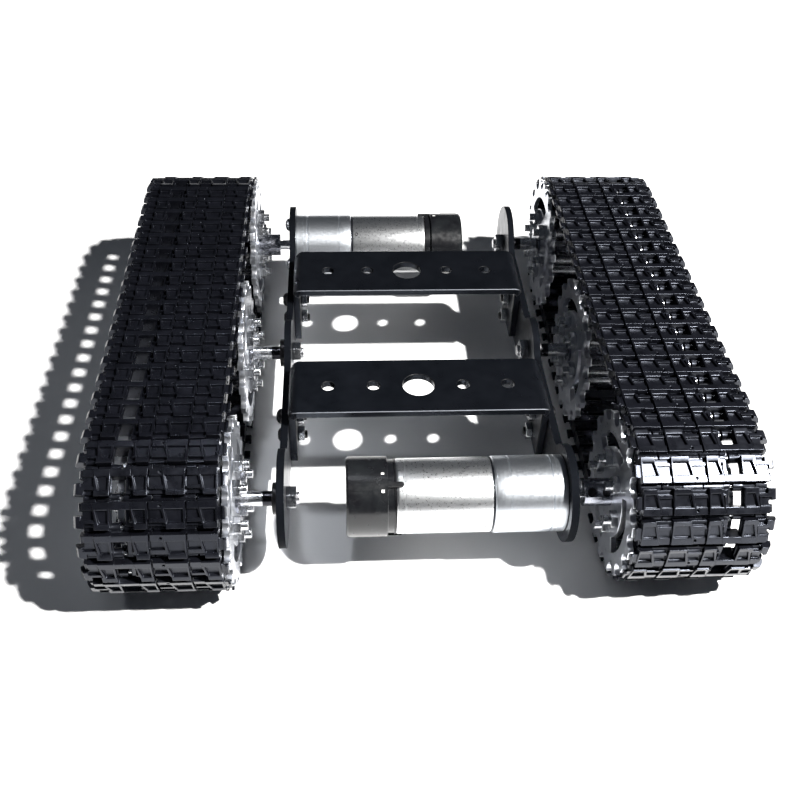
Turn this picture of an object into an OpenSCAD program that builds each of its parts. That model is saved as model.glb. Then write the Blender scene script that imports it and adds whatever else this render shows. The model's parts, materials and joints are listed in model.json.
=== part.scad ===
// Tracked tank chassis: two side panels, two U brackets, two gearmotors and two link tracks.
// X points to the right, -Y to the front, +Z up. The origin is on the ground under the middle.
// The left half is the right half turned half a turn about Z, so the two motors lie diagonally.

/* [Frame] */
// Clear width between the two side panels
inner_w = 89; // [86:0.5:96]
// Thickness of the side panels and of the brackets
plate_t = 2.5; // [2:0.1:3]
// Distance of each bracket's middle from the middle of the chassis
bracket_y = 34.2; // [33:0.1:36]
// Depth of a bracket, front to back
bracket_d = 26.8; // [24:0.2:28]
// Height of the brackets' top face
deck_z = 42.4; // [41:0.1:46]
// Length of a bracket's legs, from the top face down
leg_h = 26; // [24:0.5:27]
// Spacing of the deck holes
deck_step = 15.5; // [14:0.5:17]
// Diameter of the small deck holes
deck_hole_d = 4.5; // [3:0.1:5]
// Diameter of the large deck hole
deck_bore_d = 11; // [8:0.5:14]

/* [Tracks and wheels] */
// Link pitch, hinge to hinge
pitch = 8.6; // [8.4:0.1:8.8]
// Height of a link's pads above its hinge line
link_out = 4.2; // [4:0.1:4.6]
// Distance from the middle to the inner tips of the links
track_x = 60; // [59:0.5:62]
// Width of a track over its end lugs
track_w = 45; // [42:0.5:48]
// Length of each end lug
lug_w = 3; // [2.5:0.1:3]
// Thickness of a wheel disc
disc_t = 2; // [1.5:0.1:2]

/* [Motors] */
// Diameter of the gearbox
gearbox_d = 25; // [24.6:0.1:25]
// Length of the gearbox
gearbox_l = 23.5; // [23:0.5:25]
// Diameter of the motor can
can_d = 24.4; // [24.2:0.1:24.6]
// Length of the motor can
can_l = 31; // [30:0.5:32]
// Diameter of the encoder cap
cap_d = 26; // [25.6:0.1:26]
// Length of the encoder cap
cap_l = 15.6; // [15:0.2:17]

/* [Hidden] */
$fn = 48;

// Tracks: 18 teeth round a wheel, 17 straight links between the axles
teeth = 18;
straight_links = 17;
tooth_a = 360 / teeth;
pitch_r = pitch / (2 * sin(tooth_a / 2));
axle_y = straight_links * pitch / 2;
axle_z = pitch_r + link_out;
link_r = pitch_r * cos(tooth_a / 2);
knuckle_r = 1.7;
pin_r = 0.8;
fit = 0.05;
cut = 1;
join = 0.1;
through = 60;
body_gap = 0.25;
pad_gap = 0.5;
tongue_w = 13;
lug_len = 4;
lug_t = 1.25;
lug_in = 0.9;
fork_gap = 0.2;
window = [28.5, 34.3];
window_bar = [0.3, 2.3];
pin_inset = 0.5;
link_x0 = track_x + lug_w;
link_x1 = track_x + track_w - lug_w;
link_mid_x = (link_x0 + link_x1) / 2;

// Panels
in_x = inner_w / 2;
out_x = in_x + plate_t;
lobe_r = 16;
mid_lobe_r = 12.5;
waist_top = 35;
waist_bottom = 14;
fillet_r = 6;
frame_bolt_z = [19.5, 28.5];
bolt_r = 1.5;
bolt_hole_r = 1.55;
head_r = 2.75;
head_h = 2.2;
nut_af = 5.5;
nut_h = 2.4;
corner_r = 3.2;
bend_r = 1;
lobe_facets = 64;

// Motors
boss_r = 3.5;
boss_h = 2.4;
motor_screw_pcd = 17;
motor_screw_a = 115;
case_t = 1;
front_wall = 2.5;
rear_wall = 2;
shaft_r = 2;
shaft_flat = 0.5;
gear_r = 4.8;
pinion_r = 1.6;
gear_offset = gear_r + pinion_r + 0.1;
arbor_r = 0.8;
rotor_shaft_r = 1;
case_x0 = in_x - gearbox_l;
can_x0 = case_x0 - can_l;
cap_x0 = can_x0 - cap_l;
can_t = 0.8;
can_wall = 1.5;
cap_t = 1.1;
stage_out = [33, 36.5];
stage_in = [27, 29.5];
shaft_x0 = 31;
shaft_x1 = out_x + 12.5;
screw_reach = 2;
arbor_x = [case_x0 + 1.3, in_x - 1.5];
arbor_play = 0.3;
armature_r = 9;
armature_x = [can_x0 + 6, case_x0 - 5];
magnet_r = 5;
magnet_x = [can_x0 - 7, can_x0 - 4];
tail_l = 8;
board_x = [can_x0 - 2.2, can_x0 - 1];
board_play = 0.2;
board_hole_r = 3;
cap_wall = 1.5;
clip_a = [-4, 116, 236];
clip_w = 1.8;
clip_l = 2.6;

// Wheels
disc_x0 = track_x + 0.4;
disc_x1 = disc_x0 + disc_t;
outer_disc_x0 = 91;
tip_r = 27;
gullet_r = 3.1;
gullet_at = tip_r - 0.4;
inner_tip_r = 22.4;
small_gullet_r = 2.2;
small_gullet_at = inner_tip_r + 1.1;
spoke_slots = 3;
slot_in_r = 14.9;
slot_out_r = 19.8;
small_slot_out_r = 18.6;
slot_a = 84;
wheel_bolts = 6;
wheel_bolt_r = 11.5;
wheel_bolt_a = 3;
stud_out = 2;
tube_r = 2.75;
hub_r = 4.5;
hub_x0 = out_x + 4.5;
hub_x1 = disc_x1 + 2;
set_x = [hub_x0 + 2.3, hub_x0 + 7.1];
set_r = 1.5;
set_a = 135;
axle_r = 2;
shoulder_r = 2.5;
washer_r = 5.2;
washer_t = 2;
axle_nut_af = 7;
axle_nut_h = 3.2;
bush_x0 = disc_x0 - 0.9;
press = 0.02;
disc_facets = 96;
gullet_facets = 24;
bush_x1 = outer_disc_x0 + disc_t + 2;
axle_play = 0.3;
mid_turn = tooth_a / 2;

// --- helpers ---

// Lays a shape drawn in the YZ plane with its thickness along +X, starting at x
module along_x(x) translate([x, 0, 0]) rotate([90, 0, 90]) children();

// A rod along X from x0 to x1
module rod(x0, x1, r) along_x(x0) cylinder(h = x1 - x0, r = r);

// A hexagon along X, measured across its flats
module hex_rod(x0, x1, af) along_x(x0) cylinder(h = x1 - x0, r = af / 2 / cos(30), $fn = 6);

// Moves to a point of the YZ plane
module at_yz(y, z) translate([0, y, z]) children();

// Moves to a point at radius r and angle a in the YZ plane
module polar(r, a) translate([0, r * cos(a), r * sin(a)]) children();

// Puts a piece on the left side
module left() rotate([0, 0, 180]) children();

// --- frame ---

// The filler between a round lobe and the straight waist edge, with a concave fillet
module lobe_fillet(y, r, side) {
    reach = sqrt(pow(r + fillet_r, 2) - pow(waist_top + fillet_r - axle_z, 2));
    fy = y + side * reach;
    fz = waist_top + fillet_r;
    k = r / (r + fillet_r);
    difference() {
        polygon([[fy, waist_top], [y, waist_bottom], [y + (fy - y) * k, axle_z + (fz - axle_z) * k]]);
        translate([fy, fz]) circle(r = fillet_r);
    }
}

module panel_outline() {
    for (y = [-axle_y, axle_y]) translate([y, axle_z]) circle(r = lobe_r, $fn = lobe_facets);
    translate([0, axle_z]) circle(r = mid_lobe_r, $fn = lobe_facets);
    translate([-axle_y, waist_bottom]) square([2 * axle_y, waist_top - waist_bottom]);
    lobe_fillet(-axle_y, lobe_r, 1);
    lobe_fillet(axle_y, lobe_r, -1);
    lobe_fillet(0, mid_lobe_r, 1);
    lobe_fillet(0, mid_lobe_r, -1);
}

module side_panel() color("dimgray") difference() {
    along_x(in_x) linear_extrude(plate_t) panel_outline();
    at_yz(-axle_y, axle_z) {
        rod(in_x - cut, out_x + cut, boss_r + fit);
        for (s = [0, 180]) polar(motor_screw_pcd / 2, motor_screw_a + s)
            rod(in_x - cut, out_x + cut, bolt_hole_r);
    }
    for (y = [0, axle_y]) at_yz(y, axle_z) rod(in_x - cut, out_x + cut, axle_r + fit);
    for (y = [-bracket_y, bracket_y], z = frame_bolt_z) at_yz(y, z)
        rod(in_x - cut, out_x + cut, bolt_hole_r);
}

// The bent corner of a bracket, between its top plate and its right leg
module bend() intersection() {
    difference() {
        circle(r = bend_r + plate_t);
        circle(r = bend_r);
    }
    square(bend_r + plate_t);
}

module bracket_profile() {
    flat_x = in_x - bend_r - plate_t;
    translate([-flat_x, deck_z - plate_t]) square([2 * flat_x, plate_t]);
    for (m = [0, 1]) mirror([m, 0]) {
        translate([in_x - plate_t, deck_z - leg_h]) square([plate_t, leg_h - bend_r - plate_t]);
        translate([flat_x, deck_z - bend_r - plate_t]) bend();
    }
}

// The plan outline of the top plate, with round corners
module deck_plan() {
    w = inner_w - 2 * corner_r;
    d = bracket_d - 2 * corner_r;
    square([inner_w, d], center = true);
    square([w, bracket_d], center = true);
    for (x = [-w / 2, w / 2], y = [-d / 2, d / 2]) translate([x, y]) circle(r = corner_r);
}

module bracket() color("dimgray") difference() {
    intersection() {
        rotate([90, 0, 0]) linear_extrude(bracket_d, center = true) bracket_profile();
        union() {
            translate([0, 0, deck_z - bend_r - plate_t]) linear_extrude(bend_r + plate_t + cut)
                deck_plan();
            translate([-in_x, corner_r - bracket_d / 2, 0])
                cube([inner_w, bracket_d - 2 * corner_r, deck_z - bend_r - plate_t]);
        }
    }
    cylinder(h = through, d = deck_bore_d);
    for (i = [-2, -1, 1, 2]) translate([i * deck_step, 0, 0]) cylinder(h = through, d = deck_hole_d);
    for (z = frame_bolt_z) translate([0, 0, z]) rod(-through, through, bolt_hole_r);
}

// Runs its children at each bracket bolt of both sides
module each_frame_bolt() for (side = [0, 180]) rotate([0, 0, side])
    for (y = [-bracket_y, bracket_y], z = frame_bolt_z) at_yz(y, z) children();

module bracket_screws() color("gray") each_frame_bolt() {
    rod(out_x, out_x + head_h, head_r);
    rod(in_x - plate_t - nut_h - cut, out_x, bolt_r);
}

module bracket_nuts() color("silver") each_frame_bolt() difference() {
    hex_rod(in_x - plate_t - nut_h, in_x - plate_t, nut_af);
    rod(in_x - plate_t - nut_h - cut, in_x, bolt_r + fit);
}

// --- gearmotor ---

module at_motor() at_yz(-axle_y, axle_z) children();

module motor_screws() color("silver") for (side = [0, 180]) rotate([0, 0, side]) at_motor()
    for (s = [0, 180]) polar(motor_screw_pcd / 2, motor_screw_a + s) {
        rod(out_x, out_x + head_h, head_r);
        rod(in_x - screw_reach, out_x, bolt_r);
    }

module gearbox_case() color("silver") at_motor() difference() {
    union() {
        rod(case_x0, in_x, gearbox_d / 2);
        rod(in_x - join, in_x + boss_h, boss_r);
    }
    rod(case_x0 + rear_wall, in_x - front_wall, gearbox_d / 2 - case_t);
    rod(in_x - front_wall - cut, out_x + cut, shaft_r + fit);
    rod(case_x0 - cut, case_x0 + rear_wall + cut, rotor_shaft_r + fit);
    polar(gear_offset, 90) rod(arbor_x[0] - arbor_play, arbor_x[1] + arbor_play, arbor_r + fit);
    for (s = [0, 180]) polar(motor_screw_pcd / 2, motor_screw_a + s)
        rod(in_x - screw_reach - arbor_play, in_x + cut, bolt_hole_r);
}

// Output shaft with its gear; the flat faces the set screws
module output_shaft() color("lightgray") at_motor() {
    difference() {
        rod(shaft_x0, shaft_x1, shaft_r);
        rotate([set_a, 0, 0]) translate([hub_x0 - cut, shaft_r - shaft_flat, -shaft_r])
            cube([shaft_x1 - hub_x0 + 2 * cut, shaft_r, 2 * shaft_r]);
    }
    rod(stage_out[0], stage_out[1], gear_r);
}

module middle_gear() color("goldenrod") at_motor() polar(gear_offset, 90) {
    rod(arbor_x[0], arbor_x[1], arbor_r);
    rod(stage_in[0], stage_in[1], gear_r);
    rod(stage_in[1], stage_out[1], pinion_r);
}

module rotor() color("firebrick") at_motor() {
    rod(can_x0 - tail_l, stage_in[1], rotor_shaft_r);
    rod(stage_in[0], stage_in[1], pinion_r);
    rod(armature_x[0], armature_x[1], armature_r);
    rod(magnet_x[0], magnet_x[1], magnet_r);
}

module motor_can() color("silver") at_motor() difference() {
    rod(can_x0, case_x0, can_d / 2);
    rod(can_x0 + can_wall, case_x0 + cut, can_d / 2 - can_t);
    rod(can_x0 - cut, can_x0 + can_wall + cut, rotor_shaft_r + fit);
}

module encoder_board() color("darkgreen") at_motor() difference() {
    rod(board_x[0], board_x[1], cap_d / 2 - cap_t - board_play);
    rod(board_x[0] - cut, board_x[1] + cut, board_hole_r);
}

module encoder_cap() color("black") at_motor() {
    difference() {
        rod(cap_x0, can_x0, cap_d / 2);
        rod(cap_x0 + cap_wall, can_x0 + cut, cap_d / 2 - cap_t);
    }
    for (a = clip_a) intersection() {
        difference() {
            rod(can_x0 - cap_t, can_x0 + clip_l, cap_d / 2);
            rod(can_x0 - cap_t - cut, can_x0 + clip_l + cut, can_d / 2 + join);
        }
        rotate([a, 0, 0]) translate([can_x0 - cap_t - cut, 0, -clip_w / 2])
            cube([clip_l + cap_t + 2 * cut, cap_d, clip_w]);
    }
}

// --- wheels ---

module toothed_ring(tip, gullet, gullet_at, turn) difference() {
    circle(r = tip, $fn = disc_facets);
    for (i = [0 : teeth - 1]) rotate(90 + turn + i * tooth_a)
        translate([gullet_at, 0]) circle(r = gullet, $fn = gullet_facets);
}

// A curved slot with square ends, from r0 to r1 over the given angle
module curved_slot(r0, r1, a) {
    far = 2 * r1;
    intersection() {
        difference() {
            circle(r = r1, $fn = lobe_facets);
            circle(r = r0, $fn = lobe_facets);
        }
        polygon([[0, 0], far * [cos(a / 2), -sin(a / 2)], [far, 0], far * [cos(a / 2), sin(a / 2)]]);
    }
}

module disc(x, tip, gullet, gullet_at, slot_r, turn) color("lightslategray") difference() {
    along_x(x) linear_extrude(disc_t) difference() {
        toothed_ring(tip, gullet, gullet_at, turn);
        for (i = [0 : spoke_slots - 1]) rotate(wheel_bolt_a + (i + 0.5) * 360 / spoke_slots)
            curved_slot(slot_in_r, slot_r, slot_a);
    }
    rod(x - cut, x + disc_t + cut, hub_r);
    for (i = [0 : wheel_bolts - 1]) polar(wheel_bolt_r, wheel_bolt_a + i * 360 / wheel_bolts)
        rod(x - cut, x + disc_t + cut, bolt_hole_r);
}

module inner_disc(turn = 0) disc(disc_x0, tip_r, gullet_r, gullet_at, slot_out_r, turn);

module outer_disc(turn = 0)
    disc(outer_disc_x0, inner_tip_r, small_gullet_r, small_gullet_at, small_slot_out_r, turn);

// Six long bolts, each with its spacer tube between the discs and its nut on the inner side
module wheel_bolts_set() color("silver") for (i = [0 : wheel_bolts - 1])
    polar(wheel_bolt_r, wheel_bolt_a + i * 360 / wheel_bolts) {
        rod(outer_disc_x0 + disc_t, outer_disc_x0 + disc_t + head_h, head_r);
        rod(disc_x0 - nut_h - stud_out, outer_disc_x0 + disc_t + join, bolt_r);
        difference() {
            rod(disc_x1, outer_disc_x0, tube_r);
            rod(disc_x1 - cut, outer_disc_x0 + cut, bolt_r + fit);
        }
        difference() {
            hex_rod(disc_x0 - nut_h, disc_x0, nut_af);
            rod(disc_x0 - nut_h - cut, disc_x0 + cut, bolt_r + fit);
        }
    }

module drive_hub() color("silver") difference() {
    rod(hub_x0, hub_x1, hub_r);
    rod(hub_x0 - cut, shaft_x1 + pin_inset, shaft_r + press);
    for (x = set_x) translate([x, 0, 0]) rotate([set_a - 90, 0, 0])
        cylinder(h = hub_r + cut, r = set_r + press);
}

module set_screws() color("dimgray") at_motor() for (x = set_x)
    translate([x, 0, 0]) rotate([set_a - 90, 0, 0]) translate([0, 0, shaft_r - shaft_flat + press])
        cylinder(h = hub_r - shaft_r, r = set_r);

module bush() color("silver") difference() {
    rod(bush_x0, bush_x1, hub_r);
    rod(bush_x0 - cut, bush_x1 + cut, axle_r + fit);
}

// Runs its children at each of the four plain axles
module each_axle() for (side = [0, 180]) rotate([0, 0, side])
    for (y = [0, axle_y]) at_yz(y, axle_z) children();

module wheel_axles() color("silver") each_axle() {
    rod(in_x - axle_nut_h - cut, bush_x1 + axle_play + axle_nut_h + cut, axle_r);
    rod(out_x + washer_t, bush_x0 - axle_play, shoulder_r);
}

module axle_nuts() color("silver") each_axle() difference() {
    union() {
        hex_rod(in_x - axle_nut_h, in_x, axle_nut_af);
        hex_rod(bush_x1 + axle_play, bush_x1 + axle_play + axle_nut_h, axle_nut_af);
    }
    rod(0, 2 * through, axle_r + fit);
}

module axle_washers() color("gray") each_axle() difference() {
    rod(out_x, out_x + washer_t, washer_r);
    rod(out_x - cut, out_x + washer_t + cut, axle_r + fit);
}

// --- tracks ---

// Cuts the window beside the middle knuckle, from y0 to y1
module link_window(y0, y1) translate([track_x + window[0], y0, -link_out])
    cube([window[1] - window[0], y1 - y0, 2 * link_out + cut]);

// One link: its hinge line runs along X at height 0, its pads point up
module link() {
    body_l = pitch - 2 * (knuckle_r + body_gap);
    pad_l = pitch - 2 * pad_gap;
    difference() {
        union() {
            translate([link_x0, -body_l / 2, -knuckle_r])
                cube([link_x1 - link_x0, body_l, 2 * knuckle_r]);
            translate([link_x0, -pad_l / 2, knuckle_r])
                cube([link_x1 - link_x0, pad_l, link_out - knuckle_r]);
            translate([track_x + lug_in, -lug_len / 2, link_out - lug_t])
                cube([track_w - lug_in, lug_len, lug_t]);
            translate([link_mid_x - tongue_w / 2, 0, -knuckle_r])
                cube([tongue_w, pitch / 2, 2 * knuckle_r]);
            at_yz(pitch / 2, 0) rod(link_mid_x - tongue_w / 2, link_mid_x + tongue_w / 2, knuckle_r);
            for (x = [link_x0, link_mid_x + tongue_w / 2 + fork_gap]) {
                w = (link_x1 - link_x0 - tongue_w) / 2 - fork_gap;
                translate([x, -pitch / 2, -knuckle_r]) cube([w, pitch / 2, 2 * knuckle_r]);
                at_yz(-pitch / 2, 0) rod(x, x + w, knuckle_r);
            }
        }
        for (y = [-pitch / 2, pitch / 2]) at_yz(y, 0) rod(track_x, link_x1 + cut, pin_r + fit);
        link_window(-pitch, window_bar[0]);
        link_window(window_bar[1], pitch);
    }
}

// Links of the straight runs; up is 1 for the upper run and -1 for the lower
module straight_run(up) color("black") for (i = [0 : straight_links - 1])
    translate([0, (i - (straight_links - 1) / 2) * pitch, axle_z + up * pitch_r])
        rotate([up > 0 ? 0 : 180, 0, 0]) link();

// Links round one end wheel; side is -1 for the front and 1 for the rear
module wrapped_links(side) color("black") at_yz(side * axle_y, axle_z)
    for (i = [0 : teeth / 2 - 1])
        rotate([side > 0 ? -(i + 0.5) * tooth_a : (i + 0.5) * tooth_a, 0, 0])
            translate([0, 0, link_r]) link();

module hinge_pins() color("silver") {
    for (up = [-1, 1], i = [1 : straight_links - 1])
        at_yz((i - straight_links / 2) * pitch, axle_z + up * pitch_r)
            rod(link_x0 + pin_inset, link_x1 - pin_inset, pin_r);
    for (side = [-1, 1], i = [0 : teeth / 2])
        at_yz(side * axle_y, axle_z) rotate([-side * i * tooth_a, 0, 0]) at_yz(0, pitch_r)
            rod(link_x0 + pin_inset, link_x1 - pin_inset, pin_r);
}

// --- one node at a time ---

side_panel();  // right_side_panel
left() side_panel();  // left_side_panel
translate([0, -bracket_y, 0]) bracket();  // front_bracket
translate([0, bracket_y, 0]) bracket();  // rear_bracket
bracket_screws();
bracket_nuts();
motor_screws();
gearbox_case();  // right_gearbox_case
left() gearbox_case();  // left_gearbox_case
motor_can();  // right_motor_can
left() motor_can();  // left_motor_can
encoder_board();  // right_encoder_board
left() encoder_board();  // left_encoder_board
encoder_cap();  // right_encoder_cap
left() encoder_cap();  // left_encoder_cap
output_shaft();  // right_output_shaft
left() output_shaft();  // left_output_shaft
middle_gear();  // right_middle_gear
left() middle_gear();  // left_middle_gear
rotor();  // right_rotor
left() rotor();  // left_rotor
at_motor() drive_hub();  // right_drive_hub
left() at_motor() drive_hub();  // left_drive_hub
set_screws();  // right_set_screws
left() set_screws();  // left_set_screws
at_motor() inner_disc();  // right_drive_inner_disc
left() at_motor() inner_disc();  // left_drive_inner_disc
at_motor() outer_disc();  // right_drive_outer_disc
left() at_motor() outer_disc();  // left_drive_outer_disc
at_motor() wheel_bolts_set();  // right_drive_bolts
left() at_motor() wheel_bolts_set();  // left_drive_bolts
at_yz(axle_y, axle_z) bush();  // right_idler_hub
left() at_yz(axle_y, axle_z) bush();  // left_idler_hub
at_yz(axle_y, axle_z) inner_disc();  // right_idler_inner_disc
left() at_yz(axle_y, axle_z) inner_disc();  // left_idler_inner_disc
at_yz(axle_y, axle_z) outer_disc();  // right_idler_outer_disc
left() at_yz(axle_y, axle_z) outer_disc();  // left_idler_outer_disc
at_yz(axle_y, axle_z) wheel_bolts_set();  // right_idler_bolts
left() at_yz(axle_y, axle_z) wheel_bolts_set();  // left_idler_bolts
at_yz(0, axle_z) bush();  // right_mid_hub
left() at_yz(0, axle_z) bush();  // left_mid_hub
at_yz(0, axle_z) inner_disc(mid_turn);  // right_mid_inner_disc
left() at_yz(0, axle_z) inner_disc(mid_turn);  // left_mid_inner_disc
at_yz(0, axle_z) outer_disc(mid_turn);  // right_mid_outer_disc
left() at_yz(0, axle_z) outer_disc(mid_turn);  // left_mid_outer_disc
at_yz(0, axle_z) wheel_bolts_set();  // right_mid_bolts
left() at_yz(0, axle_z) wheel_bolts_set();  // left_mid_bolts
wheel_axles();
axle_nuts();
axle_washers();
straight_run(1);  // right_upper_links
left() straight_run(1);  // left_upper_links
straight_run(-1);  // right_lower_links
left() straight_run(-1);  // left_lower_links
wrapped_links(-1);  // right_front_links
left() wrapped_links(1);  // left_front_links
wrapped_links(1);  // right_rear_links
left() wrapped_links(-1);  // left_rear_links
hinge_pins();  // right_hinge_pins
left() hinge_pins();  // left_hinge_pins
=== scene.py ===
"""Looks of the tracked tank chassis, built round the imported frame.

Lengths are in millimetres and are turned into metres where a mesh is made. Pieces are drawn for the
right side, and the left side is the right side turned half a turn about Z, as in the CAD.
"""

import json
import math
import random

import bmesh
import bpy
from mathutils import Matrix, Vector


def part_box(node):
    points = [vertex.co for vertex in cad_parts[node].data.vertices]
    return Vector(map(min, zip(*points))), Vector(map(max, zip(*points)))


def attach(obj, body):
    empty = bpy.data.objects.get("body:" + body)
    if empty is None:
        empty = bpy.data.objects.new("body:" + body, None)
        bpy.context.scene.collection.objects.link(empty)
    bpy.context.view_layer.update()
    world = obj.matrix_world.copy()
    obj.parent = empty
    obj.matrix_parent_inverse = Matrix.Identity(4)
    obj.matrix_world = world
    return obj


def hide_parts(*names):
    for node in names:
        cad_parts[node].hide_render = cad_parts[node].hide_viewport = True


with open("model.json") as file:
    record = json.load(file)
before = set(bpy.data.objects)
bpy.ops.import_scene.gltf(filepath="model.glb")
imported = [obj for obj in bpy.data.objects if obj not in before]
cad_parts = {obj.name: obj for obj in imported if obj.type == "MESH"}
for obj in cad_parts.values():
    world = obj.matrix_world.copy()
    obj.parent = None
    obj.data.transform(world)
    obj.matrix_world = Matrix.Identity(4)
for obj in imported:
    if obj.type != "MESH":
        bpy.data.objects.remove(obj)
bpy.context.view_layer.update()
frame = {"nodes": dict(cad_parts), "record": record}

MM = 0.001
HALF_TURN = Matrix.Rotation(math.pi, 4, "Z")

# Dimensions of the frame, as in the part's source
PITCH = 8.6
TEETH = 18
STRAIGHT_LINKS = 17
TOOTH_A = 2 * math.pi / TEETH
LINK_OUT = 4.2
PITCH_R = PITCH / (2 * math.sin(TOOTH_A / 2))
LINK_R = PITCH_R * math.cos(TOOTH_A / 2)
AXLE_Y = STRAIGHT_LINKS * PITCH / 2
AXLE_Z = PITCH_R + LINK_OUT
TRACK_X = 60.0
KNUCKLE_R = 1.7
WINDOW = (28.5, 34.3)
IN_X = 44.5
PLATE_T = 2.5
OUT_X = IN_X + PLATE_T
CASE_X0 = IN_X - 23.5
CAN_X0 = CASE_X0 - 31
CAP_X0 = CAN_X0 - 15.6
CASE_R = 12.5
CAN_R = 12.2
CAP_R = 13.0
HEAD_R = 2.75
HEAD_H = 2.2
# how far outside each panel the axles' colour is worked out; its first half holds a painted shadow
# of the panel
PANEL_SHADOW_REACH = 10


# --- materials ---

class Shader:
    """A Principled material with a few noise helpers in object coordinates."""

    def __init__(self, name, rough, metal=0.0, **sockets):
        self.mat = bpy.data.materials.new(name)
        self.mat.use_nodes = True
        self.tree = self.mat.node_tree
        self.bsdf = self.tree.nodes["Principled BSDF"]
        self.bsdf.inputs["Metallic"].default_value = metal
        self.bsdf.inputs["Roughness"].default_value = rough
        for key, value in sockets.items():
            self.bsdf.inputs[key.replace("_", " ")].default_value = value
        self.coords = self.tree.nodes.new("ShaderNodeTexCoord").outputs["Object"]

    def link(self, a, b):
        self.tree.links.new(a, b)

    def noise(self, scale, detail=3.0, rough=0.55, stretch=(1, 1, 1)):
        mapping = self.tree.nodes.new("ShaderNodeMapping")
        mapping.inputs["Scale"].default_value = stretch
        self.link(self.coords, mapping.inputs["Vector"])
        tex = self.tree.nodes.new("ShaderNodeTexNoise")
        tex.inputs["Scale"].default_value = scale
        tex.inputs["Detail"].default_value = detail
        tex.inputs["Roughness"].default_value = rough
        self.link(mapping.outputs["Vector"], tex.inputs["Vector"])
        return tex.outputs["Fac"]

    def ramp(self, fac, stops):
        node = self.tree.nodes.new("ShaderNodeValToRGB")
        ramp = node.color_ramp
        while len(ramp.elements) < len(stops):
            ramp.elements.new(0.5)
        for element, (at, colour) in zip(ramp.elements, stops):
            element.position = at
            element.color = (*colour, 1)
        self.link(fac, node.inputs["Fac"])
        return node.outputs["Color"]

    def spread(self, fac, low, high, lo_in=0.3, hi_in=0.7):
        node = self.tree.nodes.new("ShaderNodeMapRange")
        for key, value in (("From Min", lo_in), ("From Max", hi_in),
                           ("To Min", low), ("To Max", high)):
            node.inputs[key].default_value = value
        self.link(fac, node.inputs["Value"])
        return node.outputs["Result"]

    def colour(self, output):
        self.link(output, self.bsdf.inputs["Base Color"])

    def tone(self, fac, low, high):
        """A base colour that wanders from low to high."""
        self.colour(self.ramp(fac, [(0.3, low), (0.7, high)]))

    def roughness(self, output):
        self.link(output, self.bsdf.inputs["Roughness"])

    def gloss(self, fac, low, high):
        """A roughness that wanders from low to high."""
        self.roughness(self.spread(fac, low, high))

    def split(self, vector):
        """The X, Y and Z of a vector output."""
        node = self.tree.nodes.new("ShaderNodeSeparateXYZ")
        self.link(vector, node.inputs[0])
        return node.outputs

    def size(self, output):
        """The value without its sign."""
        node = self.tree.nodes.new("ShaderNodeMath")
        node.operation = "ABSOLUTE"
        self.link(output, node.inputs[0])
        return node.outputs[0]

    def turned_finish(self):
        """Fine lines round the X axis."""
        self.gloss(self.noise(700, 3), 0.20, 0.30)
        self.bump(self.noise(2600, 2, stretch=(1, 0.02, 0.02)), 0.10, 0.01)

    def bump(self, height, strength, depth_mm, under=None):
        node = self.tree.nodes.new("ShaderNodeBump")
        node.inputs["Strength"].default_value = strength
        node.inputs["Distance"].default_value = depth_mm * MM
        self.link(height, node.inputs["Height"])
        if under is not None:
            self.link(under, node.inputs["Normal"])
        self.link(node.outputs["Normal"], self.bsdf.inputs["Normal"])
        return node.outputs["Normal"]


def black_plate(name, rim_matt=False):
    """Black plate; rim_matt dulls the cut edges, the faces that don't look along X."""
    s = Shader(name, 0.32, Specular_IOR_Level=0.35, Specular_Tint=(0.70, 0.80, 1.0, 1))
    s.tone(s.noise(60, 5), (0.0014, 0.0017, 0.0024), (0.0030, 0.0034, 0.0046))
    finish = s.spread(s.noise(220, 4), 0.26, 0.38)
    if rim_matt:
        across = s.size(s.split(s.tree.nodes["Texture Coordinate"].outputs["Normal"])["X"])
        s.link(s.spread(across, 0.05, 0.45, 0.4, 0.8), s.bsdf.inputs["Specular IOR Level"])
        rim = s.spread(across, 0.4, 0.0, 0.4, 0.8)
        add = s.tree.nodes.new("ShaderNodeMath")
        s.link(rim, add.inputs[0])
        s.link(finish, add.inputs[1])
        finish = add.outputs[0]
    s.roughness(finish)
    grain = s.bump(s.noise(5200, 2), 0.12, 0.03)
    s.bump(s.noise(900, 2, stretch=(0.06, 1, 1)), 0.05, 0.03, grain)
    return s.mat


def track_plastic():
    s = Shader("moulded_track_plastic", 0.30, Specular_IOR_Level=0.42,
               Specular_Tint=(0.78, 0.84, 1.0, 1))
    s.tone(s.noise(140, 4), (0.0012, 0.0013, 0.0020), (0.0036, 0.0038, 0.0056))
    s.gloss(s.noise(420, 4), 0.25, 0.37)
    flow = s.bump(s.noise(260, 3), 0.25, 0.10)
    s.bump(s.noise(3200, 2), 0.12, 0.03, flow)
    return s.mat


def cap_plastic():
    s = Shader("glossy_cap_plastic", 0.22, Specular_IOR_Level=0.5)
    s.colour(s.ramp(s.noise(180, 3), [(0.35, (0.004, 0.004, 0.005)),
                                      (0.65, (0.008, 0.009, 0.010))]))
    s.gloss(s.noise(500, 4), 0.17, 0.29)
    s.bump(s.noise(1500, 3), 0.10, 0.03)
    return s.mat


def plated_steel(name, tint, rough, turned):
    """Plated steel with fine turning lines round the X axis and a blotchy bloom."""
    s = Shader(name, rough, 1.0)
    bloom = s.noise(1500, 6, 0.7)
    low = tuple(c * 0.90 for c in tint)
    s.colour(s.ramp(bloom, [(0.30, low), (0.62, tint)]))
    s.gloss(s.noise(1400, 5, 0.7), rough - 0.05, rough + 0.06)
    lines = s.bump(s.noise(2600, 2, stretch=(1, 0.012, 0.012)), turned, 0.02)
    s.bump(bloom, 0.05, 0.02, lines)
    return s.mat


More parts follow.
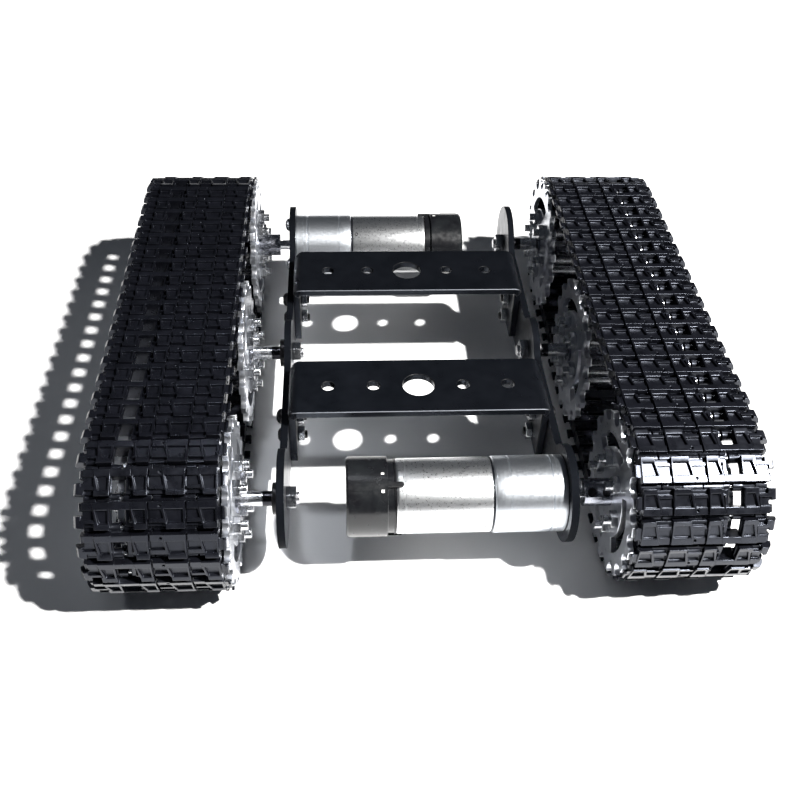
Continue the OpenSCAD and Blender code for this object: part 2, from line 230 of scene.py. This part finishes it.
def wheel_alloy():
    s = Shader("brushed_wheel_alloy", 0.38, 1.0)
    s.tone(s.noise(150, 5), (0.60, 0.62, 0.67), (0.76, 0.78, 0.82))
    s.gloss(s.noise(600, 3), 0.27, 0.33)
    s.bump(s.noise(2600, 2, stretch=(1, 1, 0.08)), 0.04, 0.01)
    return s.mat


def bright_steel():
    s = Shader("zinc_plated_steel", 0.20, 1.0)
    s.tone(s.noise(400, 4), (0.52, 0.53, 0.55), (0.74, 0.75, 0.77))
    s.gloss(s.noise(800, 4), 0.15, 0.26)
    s.bump(s.noise(2500, 2, stretch=(1, 0.1, 0.1)), 0.10, 0.02)
    return s.mat


def black_steel():
    s = Shader("black_oxide_steel", 0.36, 0.85)
    s.tone(s.noise(500, 4), (0.012, 0.012, 0.013), (0.035, 0.034, 0.036))
    s.gloss(s.noise(900, 4), 0.28, 0.46)
    s.bump(s.noise(2600, 2), 0.10, 0.02)
    return s.mat


def plain_noise(name, low, high, rough, metal, scale):
    s = Shader(name, rough, metal)
    s.tone(s.noise(scale, 4), low, high)
    s.gloss(s.noise(scale * 2, 3), rough - 0.06, rough + 0.1)
    s.bump(s.noise(scale * 5, 2), 0.1, 0.03)
    return s.mat


def hub_steel_painted_shade():
    s = Shader("turned_hub_steel_painted_shade", 0.24, 1.0)
    # tone kept darker than the real steel as painted shade: the hubs sit deep in the wheels' shadow
    s.tone(s.noise(300, 3), (0.26, 0.27, 0.31), (0.36, 0.37, 0.41))
    s.turned_finish()
    return s.mat


def axle_steel_painted_shadow():
    """Bright axle steel with a painted shadow of each panel: dark over the first half of the shadow
    reach, just outside the panel.
    """
    s = Shader("axle_steel_painted_shadow", 0.24, 1.0)
    from_middle = s.size(s.split(s.coords)["X"])
    along = s.spread(from_middle, 0.0, 1.0, OUT_X * MM, (OUT_X + PANEL_SHADOW_REACH) * MM)
    # the dark stretch is a painted shadow that the panel casts on the axle
    s.colour(s.ramp(along, [(0.0, (0.5, 0.5, 0.52)), (0.01, (0.03, 0.03, 0.035)),
                             (0.50, (0.03, 0.03, 0.035)), (0.53, (0.62, 0.63, 0.66))]))
    s.turned_finish()
    return s.mat


def painted_glint_edge(name, front_y):
    """Black plate edge with a painted glint: bright metallic colour along the deck's front edge,
    which lies at front_y (metres).
    """
    s = Shader(name, 0.5, Specular_IOR_Level=0.2)
    # the bright metallic colour near the front edge is a painted glint of the lamp
    glint = s.spread(s.split(s.coords)["Y"], 1.0, 0.0, front_y + 0.4 * MM, front_y + 0.8 * MM)
    s.colour(s.ramp(glint, [(0.0, (0.0022, 0.0026, 0.0036)), (1.0, (0.15, 0.16, 0.18))]))
    s.link(s.spread(glint, 0.0, 0.6, 0.0, 1.0), s.bsdf.inputs["Metallic"])
    s.gloss(s.noise(1100, 3), 0.36, 0.62)
    s.bump(s.noise(1800, 2), 0.4, 0.03)
    return s.mat


MATERIALS = {
    "black_plate": black_plate("black_anodised_plate"),
    "track_plastic": track_plastic(),
    "cap_plastic": cap_plastic(),
    "motor_steel": plated_steel("motor_can_steel", (0.80, 0.81, 0.82), 0.30, 0.35),
    "wheel_alloy": wheel_alloy(),
    "bright_steel": bright_steel(),
    "black_steel": black_steel(),
    "circuit_board": plain_noise("circuit_board", (0.004, 0.03, 0.012), (0.01, 0.06, 0.02),
                                 0.4, 0.0, 300),
    "gear_brass": plain_noise("gear_brass", (0.50, 0.34, 0.10), (0.68, 0.49, 0.19),
                              0.32, 1.0, 400),
    "rotor_winding": plain_noise("rotor_winding", (0.28, 0.08, 0.03), (0.50, 0.18, 0.07),
                                 0.35, 0.6, 900),
    "white_nylon": plain_noise("white_nylon", (0.62, 0.62, 0.60), (0.80, 0.80, 0.78),
                               0.35, 0.0, 300),
}
# CAD nodes with a material of their own, by a word in their name; the hubs' colour holds painted
# shade and the axles' a painted shadow
NODE_MATERIAL = {
    "hub": hub_steel_painted_shade(),
    "wheel_axles": axle_steel_painted_shadow(),
    "panel": black_plate("black_panel_plate", rim_matt=True),
}
GEARBOX_STEEL = plated_steel("gearbox_steel", (0.66, 0.69, 0.73), 0.33, 0.6)


# --- mesh helpers ---

def add_object(name, data):
    obj = bpy.data.objects.new(name, data)
    bpy.context.scene.collection.objects.link(obj)
    return obj


def smooth(mesh):
    mesh.polygons.foreach_set("use_smooth", [True] * len(mesh.polygons))


class Piece:
    """A mesh drawn in millimetres for the right side."""

    def __init__(self):
        self.bm = bmesh.new()

    def prism(self, outline, z0, z1, chamfer=0.0):
        """A closed prism over a convex anticlockwise outline, with a chamfered top edge."""
        rings = [(outline, z0)]
        if chamfer:
            rings += [(outline, z1 - chamfer), (inset(outline, chamfer), z1)]
        else:
            rings += [(outline, z1)]
        self.stack([[Vector((x, y, z)) for x, y in ring] for ring, z in rings])

    def stack(self, rings):
        """Joins rings of equal length into a closed shell."""
        rows = [[self.bm.verts.new(p) for p in ring] for ring in rings]
        for a, b in zip(rows, rows[1:]):
            for i in range(len(a)):
                j = (i + 1) % len(a)
                self.bm.faces.new((a[i], a[j], b[j], b[i]))
        self.bm.faces.new(list(reversed(rows[0])))
        self.bm.faces.new(rows[-1])

    def box(self, x0, x1, y0, y1, z0, z1, chamfer=0.0):
        self.prism([(x0, y0), (x1, y0), (x1, y1), (x0, y1)], z0, z1, chamfer)

    def rod(self, x0, x1, y, z, r, sides=16, chamfer=0.0):
        """A round bar along X."""
        steps = [(x0, r), (x1, r)]
        if chamfer:
            steps = [(x0, r - chamfer), (x0 + chamfer, r), (x1 - chamfer, r), (x1, r - chamfer)]
        self.stack([ring_x(x, y, z, rr, sides) for x, rr in steps])

    def lathe(self, profile):
        """A solid of revolution round the motor's axis: profile is a list of (x, radius)."""
        self.stack([ring_x(x, -AXLE_Y, AXLE_Z, r, 96) for x, r in profile])

    def move(self, matrix):
        """Moves everything drawn so far."""
        for vert in self.bm.verts:
            vert.co = matrix @ vert.co

    def mesh(self, name):
        mesh = bpy.data.meshes.new(name)
        bmesh.ops.recalc_face_normals(self.bm, faces=self.bm.faces)
        self.bm.to_mesh(mesh)
        return mesh

    def object(self, name, material, body, slot, *nodes, left=False, flat=30):
        """The piece in metres on its side, as an object that stands for the given CAD nodes."""
        mesh = self.mesh(name)
        mesh.transform(Matrix.Scale(MM, 4))
        if left:
            mesh.transform(HALF_TURN)
        smooth(mesh)
        mesh.set_sharp_from_angle(angle=math.radians(flat))
        mesh.materials.append(material)
        obj = add_object(name, mesh)
        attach(obj, body)
        if nodes:
            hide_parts(*nodes)
        return obj


def inset(outline, d):
    """Moves each side of a convex anticlockwise outline inwards by d."""
    n = len(outline)
    lines = []
    for i in range(n):
        (x0, y0), (x1, y1) = outline[i], outline[(i + 1) % n]
        length = math.hypot(x1 - x0, y1 - y0)
        nx, ny = -(y1 - y0) / length, (x1 - x0) / length
        lines.append((nx, ny, nx * x0 + ny * y0 + d))
    out = []
    for i in range(n):
        (a, b, c), (e, f, g) = lines[i - 1], lines[i]
        det = a * f - b * e
        out.append(((c * f - b * g) / det, (a * g - c * e) / det))
    return out


def circle(sides):
    """The angles of a circle's corners."""
    return [2 * math.pi * i / sides for i in range(sides)]


def ring_x(x, y, z, r, sides):
    return [Vector((x, y + r * math.cos(t), z + r * math.sin(t))) for t in circle(sides)]


SIDES = (("right", False), ("left", True))


# --- track links ---

# Ends of the plates and of the tongue along X, half width of the body under the plates
LINK_X0, LINK_X1 = 3.0, 42.0
TONGUE = (16.0, 28.5)
BODY_HALF = PITCH / 2 - KNUCKLE_R - 0.25
# Front edge of the plates, back of the plain strip along it, and the tabs on the other edge
EDGE_Y = -PITCH / 2 + 0.5
STRIP_Y = -1.5
TAB_Y = (2.7, PITCH / 2)
# The see-through window: its strip's height, how far its parts reach into the sides, its two
# cheeks, the gap between its hinge rods, and how far the body stands back from it
STRIP_Z = (-1.6, 3.85)
OVERLAP = 0.3
CHEEKS = (29.8, 33.9)
SLIT = (30.4, 31.4)
CUT_BACK = 2.6
# Tops of the raised plates, of the lower plates and of the floor between them
PLATE_TOP = 3.95
LOW_TOP = 3.7
FLOOR_TOP = 2.4
# Each pad unit: left side, right end of its tab, right side of its pocket at the top and at the
# bottom, right side of the unit
UNITS = ((3.1, 7.2, 7.0, 8.0, 12.0), (12.4, 17.9, 17.6, 18.5, 22.9),
         (23.3, 27.1, 26.6, 27.6, WINDOW[0]), (34.1, 38.5, 37.3, 38.3, LINK_X1))
RIDGE = 0.75
# A small round mark, and the width of the eased edges
MARK = (19.8, -2.5)
MARK_R = 0.45
LINK_EDGE = 0.15


def link_solid():
    """Closed shells of one link: inner tip at x = 0, hinge line at z = 0, pads up."""
    p = Piece()
    for x0, body, x1 in ((LINK_X0, LINK_X0, WINDOW[0]), (WINDOW[1], WINDOW[1] + CUT_BACK, LINK_X1)):
        p.box(body, x1, -BODY_HALF, BODY_HALF, -KNUCKLE_R, KNUCKLE_R + 0.05)
        p.box(x0, x1, EDGE_Y, -EDGE_Y - 0.1, KNUCKLE_R, FLOOR_TOP, 0.15)
    # the window lets light through between one link's strip and the next one's
    window = (WINDOW[0] - OVERLAP, WINDOW[1] + OVERLAP)
    p.box(*window, EDGE_Y + 0.03, STRIP_Y, *STRIP_Z, 0.2)
    for x0, x1, low in ((window[0], CHEEKS[0], 0.8), (CHEEKS[1], window[1], 1.0)):
        p.box(x0, x1, EDGE_Y + 0.06, -EDGE_Y - 0.2, low, FLOOR_TOP - 0.05, 0.15)
    p.rod(WINDOW[0] - 0.4, SLIT[0], PITCH / 2, 0, KNUCKLE_R - 0.04, 14, 0.15)
    p.rod(SLIT[1], WINDOW[1] + 0.4, -PITCH / 2, 0, KNUCKLE_R - 0.04, 14, 0.15)
    for x0, tab, top, low, x1 in UNITS:
        # plate with its pocket on the left, lower plate with its pocket on the right
        p.prism([(x0, EDGE_Y), (low + RIDGE, EDGE_Y), (top + RIDGE, TAB_Y[0]), (x0, TAB_Y[0])],
                FLOOR_TOP - 0.3, PLATE_TOP, 0.12)
        foot = tab_outline(x0, tab)
        p.stack([[Vector((x, y, FLOOR_TOP - 0.3)) for x, y in foot],
                 [Vector((x, y, LINK_OUT - 0.03 if y > TAB_Y[0] else PLATE_TOP)) for x, y in foot]])
        p.prism([(low, EDGE_Y + 0.05), (x1, EDGE_Y + 0.05), (x1, 2.4), (top, 2.4)],
                FLOOR_TOP - 0.3, LOW_TOP, 0.12)
    # lugs: a slim one inside, a long and a short one outside
    p.box(0.9, 1.75, -2, 2, LINK_OUT - 1.25, LINK_OUT, 0.2)
    p.box(1.6, 3.4, -2, 2, LINK_OUT - 1.25, LINK_OUT - 0.8)
    p.stack([[Vector((x, y, z)) for x, y in ((41.5, 0.1), (tip, 0.35), (tip, 3.75), (41.5, 4.0))]
             for z, tip in ((0.6, 44.7), (1.0, 45.0), (2.4, 44.6), (3.6, 43.7))])
    p.stack([[Vector((x, y, z)) for x, y in ((41.5, -3.7), (tip, -3.5), (tip, -1.1), (41.5, -0.9))]
             for z, tip in ((0.3, 43.2), (2.4, 43.2), (3.2, 42.8))])
    # hinge knuckles with the cheeks that carry them
    knuckles = [(TONGUE[0], 22.0, 1), (22.3, TONGUE[1], 1), (LINK_X0, 9.2, -1), (9.6, 15.8, -1),
                (WINDOW[1], 38.0, -1), (38.3, LINK_X1, -1)]
    for x0, x1, way in knuckles:
        y = way * PITCH / 2
        p.box(x0, x1, *sorted((way * 2.0, y)), -KNUCKLE_R + 0.02, KNUCKLE_R - 0.02)
        p.rod(x0, x1, y, 0, KNUCKLE_R, 14, 0.15)
    return p


def tab_outline(x0, tab):
    return [(x0, TAB_Y[0] - 0.6), (tab + 0.1, TAB_Y[0] - 0.6), (tab, TAB_Y[1]), (x0, TAB_Y[1])]


def link_pockets():
    """What is cut out of the pads: two pockets in each unit and a small round mark."""
    p = Piece()
    for x0, _, top, low, x1 in UNITS:
        left, back = x0 + 0.6, TAB_Y[0] - 0.1
        mouth = [(left, STRIP_Y), (low, STRIP_Y), (top, back), (left, back)]
        p.stack([[Vector((x, y, PLATE_TOP + rise)) for x, y in inset(mouth, d)]
                 for rise, d in ((-0.95, 0.1), (-0.12, 0.0), (0.6, -0.5))])
        p.stack([[Vector((x, y, z)) for x, y in ((low + RIDGE + 0.1, STRIP_Y), (x1 + 0.5, STRIP_Y),
                                                 (x1 + 0.5, 1.35), (top + RIDGE + 0.25, 1.35))]
                 for z in (LOW_TOP - 0.85, LOW_TOP + 1)])
    p.stack([[Vector((MARK[0] + MARK_R * math.cos(t), MARK[1] + MARK_R * math.sin(t), z))
              for t in circle(12)] for z in (LOW_TOP - 0.8, LOW_TOP + 1)])
    return p


def carve(solid, cutter, edge):
    """One clean skin: the solid's shells joined, the cutter's taken away, sharp edges eased."""
    parts = [add_object(name, piece.mesh(name))
             for name, piece in (("solid", solid), ("cutter", cutter), ("skin", Piece()))]
    skin = parts[2]
    for part, operation in zip(parts, ("UNION", "DIFFERENCE")):
        mod = skin.modifiers.new(operation, "BOOLEAN")
        mod.operation, mod.object, mod.solver, mod.use_self = operation, part, "EXACT", True
    bevel = skin.modifiers.new("bevel", "BEVEL")
    bevel.width, bevel.segments, bevel.use_clamp_overlap = edge, 2, False
    bevel.limit_method, bevel.angle_limit = "ANGLE", math.radians(50)
    bpy.context.view_layer.update()
    graph = bpy.context.evaluated_depsgraph_get()
    result = bpy.data.meshes.new_from_object(skin.evaluated_get(graph))
    for part in parts:
        bpy.data.objects.remove(part)
    return result


def link_places(run):
    """The matrices of the links of one run of the right track."""
    home = Matrix.Translation((TRACK_X, 0, 0))
    if run in ("upper", "lower"):
        up = run == "upper"
        turn = Matrix.Rotation(0 if up else math.pi, 4, "X")
        z = AXLE_Z + (PITCH_R if up else -PITCH_R)
        return [Matrix.Translation((0, (i - (STRAIGHT_LINKS - 1) / 2) * PITCH, z)) @ turn @ home
                for i in range(STRAIGHT_LINKS)]
    side = -1 if run == "front" else 1
    axle, out = Matrix.Translation((0, side * AXLE_Y, AXLE_Z)), Matrix.Translation((0, 0, LINK_R))
    return [axle @ Matrix.Rotation(-side * (i + 0.5) * TOOTH_A, 4, "X") @ out @ home
            for i in range(TEETH // 2)]


def track():
    """Both tracks, one object for each run."""
    link = carve(link_solid(), link_pockets(), LINK_EDGE)
    opposite = {"upper": "upper", "lower": "lower", "front": "rear", "rear": "front"}
    for side, left in SIDES:
        for run in opposite:
            p = Piece()
            for place in link_places(opposite[run] if left else run):
                start = len(p.bm.verts)
                p.bm.from_mesh(link)
                p.bm.verts.ensure_lookup_table()
                bmesh.ops.transform(p.bm, matrix=place, verts=p.bm.verts[start:])
            links = p.object(f"{side}_{run}_track_links", MATERIALS["track_plastic"], "chassis",
                             "track_plastic", f"{side}_{run}_links", left=left, flat=70)
            even_normals(links, keep_sharp=True)
    bpy.data.meshes.remove(link)


# --- motors ---

DIMPLE_ANGLES = (189, 53.5)
CLIP_ANGLES = (-4, 116, 236)
RIB_ANGLE = 124.0
# The cap's two pale pins: their ends along X, and each one's place and width in degrees of arc
PIN_X = (-14.6, -13.5)
PINS = ((99.5, 3.0), (125.5, 4.2))


def groove(x0, x1, r, depth, lead):
    """The part of a profile that makes a shallow turned groove with sloping sides."""
    return [(x0, r), (x0 + lead, r - depth), (x1 - lead, r - depth), (x1, r)]


def gearbox(side, left):
    """End plate, ring gear with three turned grooves, front wall and boss."""
    p = Piece()
    p.lathe([(CASE_X0 + 0.25, 2.0), (CASE_X0 + 0.25, CASE_R - 0.8), (CASE_X0 + 0.35, CASE_R - 0.4),
             (CASE_X0 + 0.6, CASE_R - 0.1), (CASE_X0 + 0.9, CASE_R),
             *groove(26.1, 26.6, CASE_R, 0.12, 0.1), *groove(39.3, 40.0, CASE_R, 0.35, 0.15),
             *groove(41.3, 41.55, CASE_R, 0.08, 0.05),
             (IN_X - 0.25, CASE_R), (IN_X - 0.01, CASE_R - 0.25), (IN_X - 0.01, 3.5),
             (IN_X + 2.15, 3.5), (IN_X + 2.4, 3.25), (IN_X + 2.4, 2.06), (IN_X - 1.5, 2.06)])
    p.object(f"{side}_gearbox_shell", GEARBOX_STEEL, "chassis", "motor_steel",
             f"{side}_gearbox_case", left=left, flat=25)


def can(side, left):
    """Drawn cup: groove at the cap end, rounded mouth, a black ring painted as the shadow in the
    seam, two pressed dimples.
    """
    p = Piece()
    p.lathe([(CAN_X0 + 0.02, 1.2), (CAN_X0 + 0.02, CAN_R - 0.9), (CAN_X0 + 0.35, CAN_R - 0.3),
             (CAN_X0 + 0.9, CAN_R - 0.02), (CAN_X0 + 1.2, CAN_R),
             *groove(CAN_X0 + 2.9, CAN_X0 + 3.35, CAN_R, 0.1, 0.1),
             (CASE_X0 - 0.8, CAN_R), (CASE_X0 - 0.45, CAN_R - 0.1), (CASE_X0 - 0.3, CAN_R - 0.35),
             (CASE_X0 - 0.3, 10.6), (CASE_X0 + 0.25, 10.6), (CASE_X0 + 0.25, 1.2)])
    p.object(f"{side}_can_shell", MATERIALS["motor_steel"], "chassis", "motor_steel",
             f"{side}_motor_can", left=left, flat=25)
    # a black ring set in the seam between can and gearbox: painted shadow of the gap
    p = Piece()
    p.lathe([(CASE_X0 - 0.29, 11.0), (CASE_X0 - 0.29, CAN_R - 0.2), (CASE_X0 + 0.24, CAN_R - 0.2),
             (CASE_X0 + 0.24, 11.0)])
    p.object(f"{side}_can_seam_painted_shadow", MATERIALS["track_plastic"], "chassis", "cap_plastic", left=left)
    for k, angle in enumerate(DIMPLE_ANGLES):
        p = Piece()
        dished(p, CASE_X0 - 1.9, angle, CAN_R)
        p.object(f"{side}_can_dimple_{k + 1}", MATERIALS["black_steel"], "chassis", "motor_steel",
                 left=left)


def cap(side, left):
    """Glossy cup with a neck, three clip arms, a rib and two pale pins."""
    plastic = MATERIALS["cap_plastic"]
    p = Piece()
    p.lathe([(CAP_X0 + 0.02, 0.6), (CAP_X0 + 0.02, CAP_R - 1.0), (CAP_X0 + 0.25, CAP_R - 0.35),
             (CAP_X0 + 0.8, CAP_R), (CAN_X0 - 2.6, CAP_R), (CAN_X0 - 2.4, CAP_R - 0.2),
             (CAN_X0 - 2.4, CAP_R - 1.1), (CAN_X0 - 0.25, CAP_R - 1.1),
             (CAN_X0 - 0.25, CAP_R - 0.75), (CAN_X0 - 0.02, CAP_R - 0.75), (CAN_X0 - 0.02, 0.6)])
    p.object(f"{side}_cap_shell", plastic, "chassis", "cap_plastic", f"{side}_encoder_cap",
             left=left, flat=25)
    for k, angle in enumerate(CLIP_ANGLES):
        p = Piece()
        clip_arm(p, angle)
        p.object(f"{side}_cap_clip_{k + 1}", plastic, "chassis", "cap_plastic", left=left)
    p = Piece()
    patch(p, (CAP_X0 + 1.4, CAP_X0 + 8.6), RIB_ANGLE, 1.6, CAP_R + 0.14, 0.1)
    p.object(f"{side}_cap_rib", plastic, "chassis", "cap_plastic", left=left)
    for k, (angle, wide) in enumerate(PINS):
        p = Piece()
        patch(p, PIN_X, angle, wide, CAP_R + 0.04, 0.06)
        p.object(f"{side}_cap_pin_{k + 1}", MATERIALS["white_nylon"], "chassis", "bright_steel",
                 left=left)


def patch(p, ends, angle, wide, top, chamfer):
    """A block that follows the cap's wall: ends along X, middle and width in degrees of arc."""
    steps = 4
    foot = CAP_R - 0.3
    arc = [math.radians(angle - wide / 2 + wide * i / steps) for i in range(steps + 1)]
    rows = []
    for x, r in ((ends[0], foot), (ends[0] + chamfer, top),
                 (ends[1] - chamfer, top), (ends[1], foot)):
        corners = [(r, t) for t in arc] + [(foot - 0.5, t) for t in reversed(arc)]
        rows.append([Vector((x, -AXLE_Y + reach * math.cos(t), AXLE_Z + reach * math.sin(t)))
                     for reach, t in corners])
    p.stack(rows)


def round_motor(angle, x=0):
    """Takes what is drawn upright at the origin to x and to an angle round the motor's axis."""
    turn = Matrix.Rotation(math.radians(angle - 90), 4, "X")
    return Matrix.Translation((x, -AXLE_Y, AXLE_Z)) @ turn


def clip_arm(p, angle):
    """A slim tongue that reaches from the cap onto the can, with a round end."""
    half, start, end = 0.9, CAN_X0 - 2.6, CAN_X0 + 2.6
    outline = [(start, -half), (end - half, -half)]
    outline += [(end - half + half * math.sin(t), -half * math.cos(t))
                for t in (math.pi * i / 8 for i in range(1, 8))]
    outline += [(end - half, half), (start, half)]
    p.prism(outline, CAN_R - 0.35, CAP_R - 0.02, 0.15)
    p.move(round_motor(angle))


def dished(p, x, angle, r):
    """A small shallow ring set in the can's wall."""
    p.stack([[Vector((rr * math.cos(t), rr * math.sin(t), r + h)) for t in circle(16)]
             for rr, h in ((0.75, -0.2), (0.75, 0.0), (0.62, 0.03), (0.42, 0.0), (0.3, -0.03))])
    p.move(round_motor(angle, x))


# --- screws ---

BRACKET_SCREW_Y = 34.2
BRACKET_SCREW_Z = (19.5, 28.5)
MOTOR_SCREW_R = 8.5
SHANK_R = 1.5
SOCKET_R = 1.25


def button_head(p, x, y, z, socket_turn):
    """A domed head with a hexagon socket, on the panel's outer face at x and outwards along +X."""
    n = 24
    sixth = math.pi / 3
    turns = circle(n)
    hexagon = [SOCKET_R / math.cos((t + sixth / 2) % sixth - sixth / 2) for t in turns]
    rings = [ring_x(x, y, z, HEAD_R, n)]
    for k in range(5):
        t = math.radians(12 + k * 15)
        rings.append(ring_x(x + 0.5 + 1.65 * math.sin(t), y, z, 0.9 + 1.85 * math.cos(t), n))
    rim = HEAD_H - 0.02
    for xx, grow in ((x + rim, 1.12), (x + rim, 1.0), (x + 1.0, 1.0)):
        rings.append([Vector((xx, y + grow * h * math.cos(t + socket_turn),
                              z + grow * h * math.sin(t + socket_turn)))
                      for t, h in zip(turns, hexagon)])
    p.stack(rings)


def screws():
    """Bracket and motor screws: two objects for each CAD node, one for each side."""
    rng = random.Random(7)
    bracket = [(y, z) for y in (-BRACKET_SCREW_Y, BRACKET_SCREW_Y) for z in BRACKET_SCREW_Z]
    motor_face = [(-AXLE_Y + MOTOR_SCREW_R * math.cos(a), AXLE_Z + MOTOR_SCREW_R * math.sin(a))
                  for a in (math.radians(115), math.radians(295))]
    kinds = (("bracket_screws", bracket, "black_steel", 6.4),
             ("motor_screws", motor_face, "bright_steel", 2.0))
    for node, places, slot, deep in kinds:
        for side, left in SIDES:
            p = Piece()
            for y, z in places:
                button_head(p, OUT_X, y, z, rng.uniform(0, 1))
                p.rod(IN_X - deep + 0.6, OUT_X + 0.3, y, z, SHANK_R, 24, 0.3)
            stands_for = () if left else (node,)
            p.object(f"{side}_{node}_shaped", MATERIALS[slot], "chassis", slot, *stands_for,
                     left=left, flat=35)


# --- frame nodes that stay ---

def even_normals(obj, keep_sharp=False):
    """Keeps flats flat beside rounded edges."""
    even = obj.modifiers.new("even", "WEIGHTED_NORMAL")
    even.keep_sharp, even.weight = keep_sharp, 60


def edges(obj, width):
    """Rounds the sharp edges of a CAD node, keeps its flats flat and returns the bevel."""
    for name in ("custom_normal", "sharp_edge"):
        found = obj.data.attributes.get(name)
        if found:
            obj.data.attributes.remove(found)
    smooth(obj.data)
    weld = obj.modifiers.new("weld", "WELD")
    weld.merge_threshold = 0.002 * MM
    clean = obj.modifiers.new("clean", "DECIMATE")
    clean.decimate_type, clean.angle_limit = "DISSOLVE", math.radians(0.6)
    bevel = obj.modifiers.new("bevel", "BEVEL")
    bevel.width, bevel.segments = width * MM, 2
    bevel.limit_method, bevel.angle_limit = "ANGLE", math.radians(38)
    bevel.use_clamp_overlap = "bracket_" not in obj.name and "_bracket" not in obj.name
    even_normals(obj)
    return bevel


BRACKET_EDGE = 0.24
# Widths of the eased edges of the other CAD nodes, by a word in their name
EDGE_WIDTH = {"panel": 0.22, "bracket_": 0.25, "disc": 0.14, "hub": 0.2, "axle": 0.2, "nut": 0.22,
              "washers": 0.2, "bolts": 0.15, "set_screws": 0.12, "shaft": 0.15}


def frame_nodes():
    slots = {part["node"]: part["material_slot"] for part in frame["record"]["subparts"]}
    for name, obj in frame["nodes"].items():
        obj.data.materials.clear()
        found = [material for key, material in NODE_MATERIAL.items() if key in name]
        obj.data.materials.append(found[0] if found else MATERIALS[slots[name]])
        if obj.hide_render:
            continue
        if name in ("front_bracket", "rear_bracket"):
            # the brackets' bevels get a second material with a painted glint along the front edge
            obj.data.materials.append(painted_glint_edge(f"{name}_edge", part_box(name)[0][1]))
            edges(obj, BRACKET_EDGE).material = 1
            continue
        for key, width in EDGE_WIDTH.items():
            if key in name:
                edges(obj, width)
                break


# --- stage ---

def floor():
    """A pale floor that glows a little far from the object: painted light that stands in for the
    lamp's light there.
    """
    bm = bmesh.new()
    half = 1.6
    bm.faces.new([bm.verts.new((x * half, y * half, 0))
                  for x, y in ((-1, -1), (1, -1), (1, 1), (-1, 1))])
    mesh = bpy.data.meshes.new("floor")
    bm.to_mesh(mesh)
    s = Shader("pale_floor", 0.6, Specular_IOR_Level=0.2)
    s.tone(s.noise(3, 2), (0.84, 0.84, 0.845), (0.86, 0.86, 0.865))
    reach = s.tree.nodes.new("ShaderNodeVectorMath")
    reach.operation = "LENGTH"
    s.link(s.coords, reach.inputs[0])
    s.bsdf.inputs["Emission Color"].default_value = (0.97, 0.98, 1.0, 1)
    # the glow is painted light that keeps the far floor white where the lamp's light falls off
    glow = s.spread(reach.outputs["Value"], 0.0, 0.8, 0.25, 0.7)
    s.link(glow, s.bsdf.inputs["Emission Strength"])
    mesh.materials.append(s.mat)
    add_object("floor", mesh)


def spot(name, power, angle, place, aim):
    """A soft bluish spot lamp, angle degrees wide, aimed at a point."""
    lamp = bpy.data.lights.new(name, "SPOT")
    lamp.energy, lamp.shadow_soft_size = power, 0.03
    lamp.spot_size, lamp.spot_blend = math.radians(angle), 0.9
    lamp.color = (0.90, 0.94, 1.0)
    obj = add_object(name, lamp)
    obj.location = place
    obj.rotation_euler = (Vector(aim) - obj.location).to_track_quat("-Z", "Y").to_euler()


def lights():
    """One small bright lamp from the right, two weak spots and a faint bluish surround."""
    key = bpy.data.lights.new("key", "POINT")
    key.energy, key.shadow_soft_size = 104, 0.018
    key.color = (1.0, 0.99, 0.97)
    add_object("key", key).location = (0.395, -0.304, 0.709)
    # weak spots that lift the shadow inside the frame and the one beside the left track
    spot("inner_fill", 4.2, 12, (-0.10, 0.05, 0.62), (-0.045, -0.050, 0))
    spot("side_fill", 0.7, 36, (-0.42, -0.10, 0.42), (-0.125, -0.02, 0))
    world = bpy.data.worlds.new("studio")
    world.use_nodes = True
    back = world.node_tree.nodes["Background"]
    back.inputs["Color"].default_value = (0.74, 0.84, 1.0, 1)
    back.inputs["Strength"].default_value = 0.042
    bpy.context.scene.world = world


FOCAL_RATIO = 1.227125


def camera():
    """A camera in front, 42 degrees above the horizon, turned a little to the right."""
    pitch, yaw, roll = (math.radians(a) for a in (-42.26, 4.68, 2.31))
    ahead = Vector((math.sin(yaw) * math.cos(pitch), math.cos(yaw) * math.cos(pitch),
                    math.sin(pitch)))
    level = Vector((math.cos(yaw), -math.sin(yaw), 0))
    above = level.cross(ahead)
    right = level * math.cos(roll) + above * math.sin(roll)
    up = above * math.cos(roll) - level * math.sin(roll)
    data = bpy.data.cameras.new("camera")
    data.sensor_width = 36
    data.lens = FOCAL_RATIO * data.sensor_width
    data.clip_start = 0.01
    obj = add_object("camera", data)
    turn = Matrix((right, up, -ahead)).transposed().to_4x4()
    obj.matrix_world = Matrix.Translation(Vector((-26.79, -286.22, 265.14)) * MM) @ turn
    bpy.context.scene.camera = obj


track()
for side_name, is_left in SIDES:
    for draw in (gearbox, can, cap):
        draw(side_name, is_left)
screws()
frame_nodes()
floor()
lights()
camera()
bpy.context.scene.view_settings.view_transform = "Standard"
